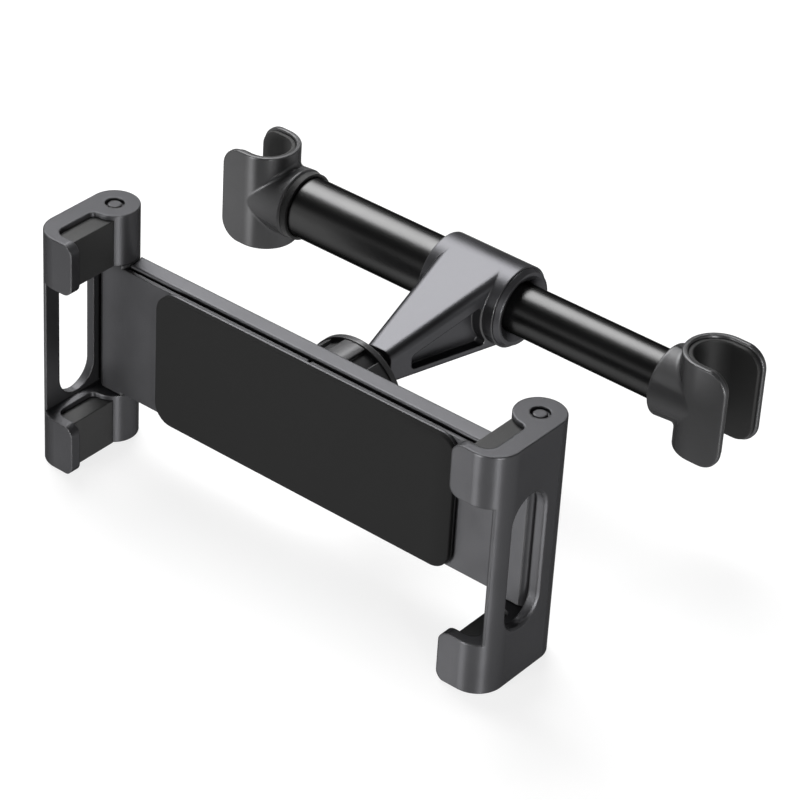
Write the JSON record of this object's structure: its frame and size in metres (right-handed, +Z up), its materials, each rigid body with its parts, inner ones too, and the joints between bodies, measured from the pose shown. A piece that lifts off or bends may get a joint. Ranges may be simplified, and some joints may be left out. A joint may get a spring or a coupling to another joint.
{
  "type": "headrest tablet mount",
  "caption": "Sprung crossbar that hooks on two headrest posts, with a tapering arm and ball joint that carry a widening tablet holder with folding side clamps.",
  "frame": {"origin": "on the axis of the left headrest post's seat, at the height of the crossbar's axis", "axes": "+X along the crossbar to the right post, +Y towards the headrest, away from the tablet, +Z up along the posts"},
  "size_m": [0.1825, 0.1124, 0.0768],
  "materials": {
    "moulding": "satin black moulded plastic",
    "tube": "satin black coated tube",
    "rubber_part": "matte black rubber",
    "pad_rubber": "fine matte black rubber",
    "coated_steel": "black coated steel",
    "pin_steel": "dark oiled steel",
    "spring_steel": "spring wire",
    "slip_plastic": "natural slippery plastic"
  },
  "bodies": {
    "crossbar": {"left_hook": "moulding", "left_hook_liner": "rubber_part", "left_collar_ring": "rubber_part", "outer_tube": "tube", "hub_arm": "moulding", "hub_end_bush": "moulding", "ball_stud": "coated_steel", "crossbar_spring": "spring_steel"},
    "right_end": {"right_hook": "moulding", "right_hook_liner": "rubber_part", "inner_tube": "tube", "guide_plug": "slip_plastic"},
    "ball_liner": {"socket_liner": "slip_plastic"},
    "socket": {"ball_socket": "moulding"},
    "nut": {"collar_nut": "moulding"},
    "holder": {"housing": "moulding", "cover_plate": "moulding", "pad": "pad_rubber", "cover_screws": "pin_steel", "pinion_axle": "pin_steel", "left_tension_spring": "spring_steel", "right_tension_spring": "spring_steel"},
    "gear": {"pinion": "slip_plastic"},
    "left_slide": {"left_arm": "moulding", "left_hinge_pin": "pin_steel"},
    "right_slide": {"right_arm": "moulding", "right_hinge_pin": "pin_steel"},
    "left_jaw": {"left_clamp": "moulding", "left_upper_insert": "rubber_part", "left_lower_insert": "rubber_part"},
    "right_jaw": {"right_clamp": "moulding", "right_upper_insert": "rubber_part", "right_lower_insert": "rubber_part"}
  },
  "joints": [
    {"name": "right_hook_slide", "type": "slide", "parent": "crossbar", "child": "right_end", "axis": [1, 0, 0], "range_m": [-0.03, 0], "stiffness_N_per_m": 150, "springref_m": 0.03, "deforming": ["crossbar_spring"]},
    {"name": "ball_tilt", "type": "hinge", "parent": "crossbar", "child": "ball_liner", "pos_m": [0.082, -0.0615, -0.0075], "axis": [1, 0, 0], "range_deg": [-10, 30]},
    {"name": "ball_pan", "type": "hinge", "parent": "ball_liner", "child": "socket", "pos_m": [0.082, -0.0615, -0.0075], "axis": [0, 0, 1], "range_deg": [-18, 18]},
    {"name": "ball_turn", "type": "hinge", "parent": "socket", "child": "holder", "pos_m": [0.082, -0.0615, -0.0075], "axis": [0, 1, 0], "continuous": true},
    {"name": "collar_nut_turn", "type": "hinge", "parent": "socket", "child": "nut", "pos_m": [0.082, -0.0615, -0.0075], "axis": [0, 1, 0], "range_deg": [0, 180]},
    {"name": "left_arm_slide", "type": "slide", "parent": "holder", "child": "left_slide", "axis": [-1, 0, 0], "range_m": [0, 0.045], "stiffness_N_per_m": 100, "springref_m": -0.02, "deforming": ["left_tension_spring"]},
    {"name": "right_arm_slide", "type": "slide", "parent": "holder", "child": "right_slide", "axis": [1, 0, 0], "range_m": [0, 0.045], "stiffness_N_per_m": 100, "springref_m": -0.02, "deforming": ["right_tension_spring"]},
    {"name": "pinion_spin", "type": "hinge", "parent": "holder", "child": "gear", "pos_m": [0.082, -0.0736, -0.0093], "axis": [0, 1, 0], "range_deg": [-520, 0]},
    {"name": "left_clamp_fold", "type": "hinge", "parent": "left_slide", "child": "left_jaw", "pos_m": [0.00675, -0.0736, -0.0093], "axis": [0, 0, 1], "range_deg": [0, 75]},
    {"name": "right_clamp_fold", "type": "hinge", "parent": "right_slide", "child": "right_jaw", "pos_m": [0.15725, -0.0736, -0.0093], "axis": [0, 0, -1], "range_deg": [0, 75]}
  ],
  "couplings": [
    {"joint": "right_arm_slide", "follows": "left_arm_slide", "ratio": 1},
    {"joint": "pinion_spin", "follows": "left_arm_slide", "rad_per_m": -200}
  ]
}
